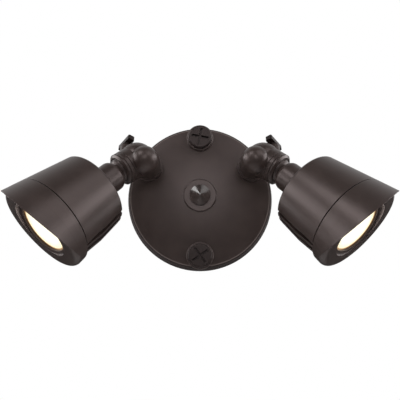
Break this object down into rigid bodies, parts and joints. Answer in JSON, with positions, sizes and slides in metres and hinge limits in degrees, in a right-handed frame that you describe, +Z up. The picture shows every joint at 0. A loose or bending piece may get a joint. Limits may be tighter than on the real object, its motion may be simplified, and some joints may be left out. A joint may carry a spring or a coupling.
{
  "type": "outdoor double flood light",
  "caption": "Wall-mounted outdoor flood light: hooded drum heads on ball-jointed arms that swivel on a round domed canopy with a photocell eye.",
  "frame": {"origin": "centre of the canopy's back, in the wall plane, midway between the two box-screw slots", "axes": "+Z up the wall, +Y into the wall, -Y out towards the viewer, +X to the viewer's right"},
  "size_m": [0.2792, 0.1227, 0.127],
  "materials": {
    "bronze_casting": "matte",
    "bronze_screw": "satin",
    "seal_rubber": "matte",
    "zinc_steel": "satin",
    "green_screw": "satin",
    "black_plastic": "satin",
    "eye_plastic": "gloss",
    "bare_aluminium": "satin",
    "driver_case": "matte",
    "thermal_pad": "matte",
    "board_white": "satin",
    "emitter": "satin",
    "reflector_plastic": "gloss",
    "lens_glow": "satin"
  },
  "bodies": {
    "canopy": {"canopy_cover": "bronze_casting", "wall_gasket": "seal_rubber", "mounting_bar": "zinc_steel", "cover_screw_top": "bronze_screw", "cover_screw_bottom": "bronze_screw", "cover_screw_seals": "seal_rubber", "ground_screw": "green_screw", "photocell_body": "black_plastic", "photocell_lens": "eye_plastic", "photocell_nut": "black_plastic", "hub_seal_left": "seal_rubber", "hub_seal_right": "seal_rubber"},
    "arm_left": {"elbow_left": "bronze_casting", "ball_ring_left": "bronze_casting", "hub_lock_nut_left": "zinc_steel"},
    "wing_left": {"wing_screw_left": "bronze_screw"},
    "neck_left": {"ball_neck_left": "bronze_casting", "neck_lock_nut_left": "zinc_steel"},
    "head_left": {"rear_housing_left": "bronze_casting", "hood_left": "bronze_casting", "hood_seal_left": "seal_rubber", "hood_lock_screw_left": "bronze_screw", "neck_seal_left": "seal_rubber", "driver_module_left": "driver_case", "driver_pad_left": "thermal_pad", "led_plate_left": "bare_aluminium", "led_plate_screws_left": "zinc_steel", "led_board_left": "board_white", "led_emitter_left": "emitter", "reflector_left": "reflector_plastic", "lens_left": "lens_glow", "lens_gasket_left": "seal_rubber"},
    "arm_right": {"elbow_right": "bronze_casting", "ball_ring_right": "bronze_casting", "hub_lock_nut_right": "zinc_steel"},
    "wing_right": {"wing_screw_right": "bronze_screw"},
    "neck_right": {"ball_neck_right": "bronze_casting", "neck_lock_nut_right": "zinc_steel"},
    "head_right": {"rear_housing_right": "bronze_casting", "hood_right": "bronze_casting", "hood_seal_right": "seal_rubber", "hood_lock_screw_right": "bronze_screw", "neck_seal_right": "seal_rubber", "driver_module_right": "driver_case", "driver_pad_right": "thermal_pad", "led_plate_right": "bare_aluminium", "led_plate_screws_right": "zinc_steel", "led_board_right": "board_white", "led_emitter_right": "emitter", "reflector_right": "reflector_plastic", "lens_right": "lens_glow", "lens_gasket_right": "seal_rubber"}
  },
  "joints": [
    {"name": "arm_swivel_left", "type": "hinge", "parent": "canopy", "child": "arm_left", "pos_m": [-0.04487, -0.0195, 0.02487], "axis": [0, -1, 0], "range_deg": [-90, 40]},
    {"name": "head_tilt_left", "type": "hinge", "parent": "arm_left", "child": "neck_left", "pos_m": [-0.06225, -0.03907, 0.0186], "axis": [-0.6639, 0.7478, 0], "range_deg": [-10, 18]},
    {"name": "head_roll_left", "type": "hinge", "parent": "neck_left", "child": "head_left", "pos_m": [-0.08248, -0.05702, -0.00378], "axis": [-0.5762, -0.5116, -0.6374], "range_deg": [-90, 90]},
    {"name": "wing_turn_left", "type": "hinge", "parent": "arm_left", "child": "wing_left", "pos_m": [-0.06225, -0.03907, 0.0186], "axis": [-0.0208, 0.4999, 0.8658], "continuous": true},
    {"name": "arm_swivel_right", "type": "hinge", "parent": "canopy", "child": "arm_right", "pos_m": [0.04487, -0.0195, 0.02487], "axis": [0, 1, 0], "range_deg": [-90, 40]},
    {"name": "head_tilt_right", "type": "hinge", "parent": "arm_right", "child": "neck_right", "pos_m": [0.06225, -0.03907, 0.0186], "axis": [-0.6639, -0.7478, 0], "range_deg": [-10, 18]},
    {"name": "head_roll_right", "type": "hinge", "parent": "neck_right", "child": "head_right", "pos_m": [0.08248, -0.05702, -0.00378], "axis": [-0.5762, 0.5116, 0.6374], "range_deg": [-90, 90]},
    {"name": "wing_turn_right", "type": "hinge", "parent": "arm_right", "child": "wing_right", "pos_m": [0.06225, -0.03907, 0.0186], "axis": [-0.0208, -0.4999, -0.8658], "continuous": true}
  ]
}
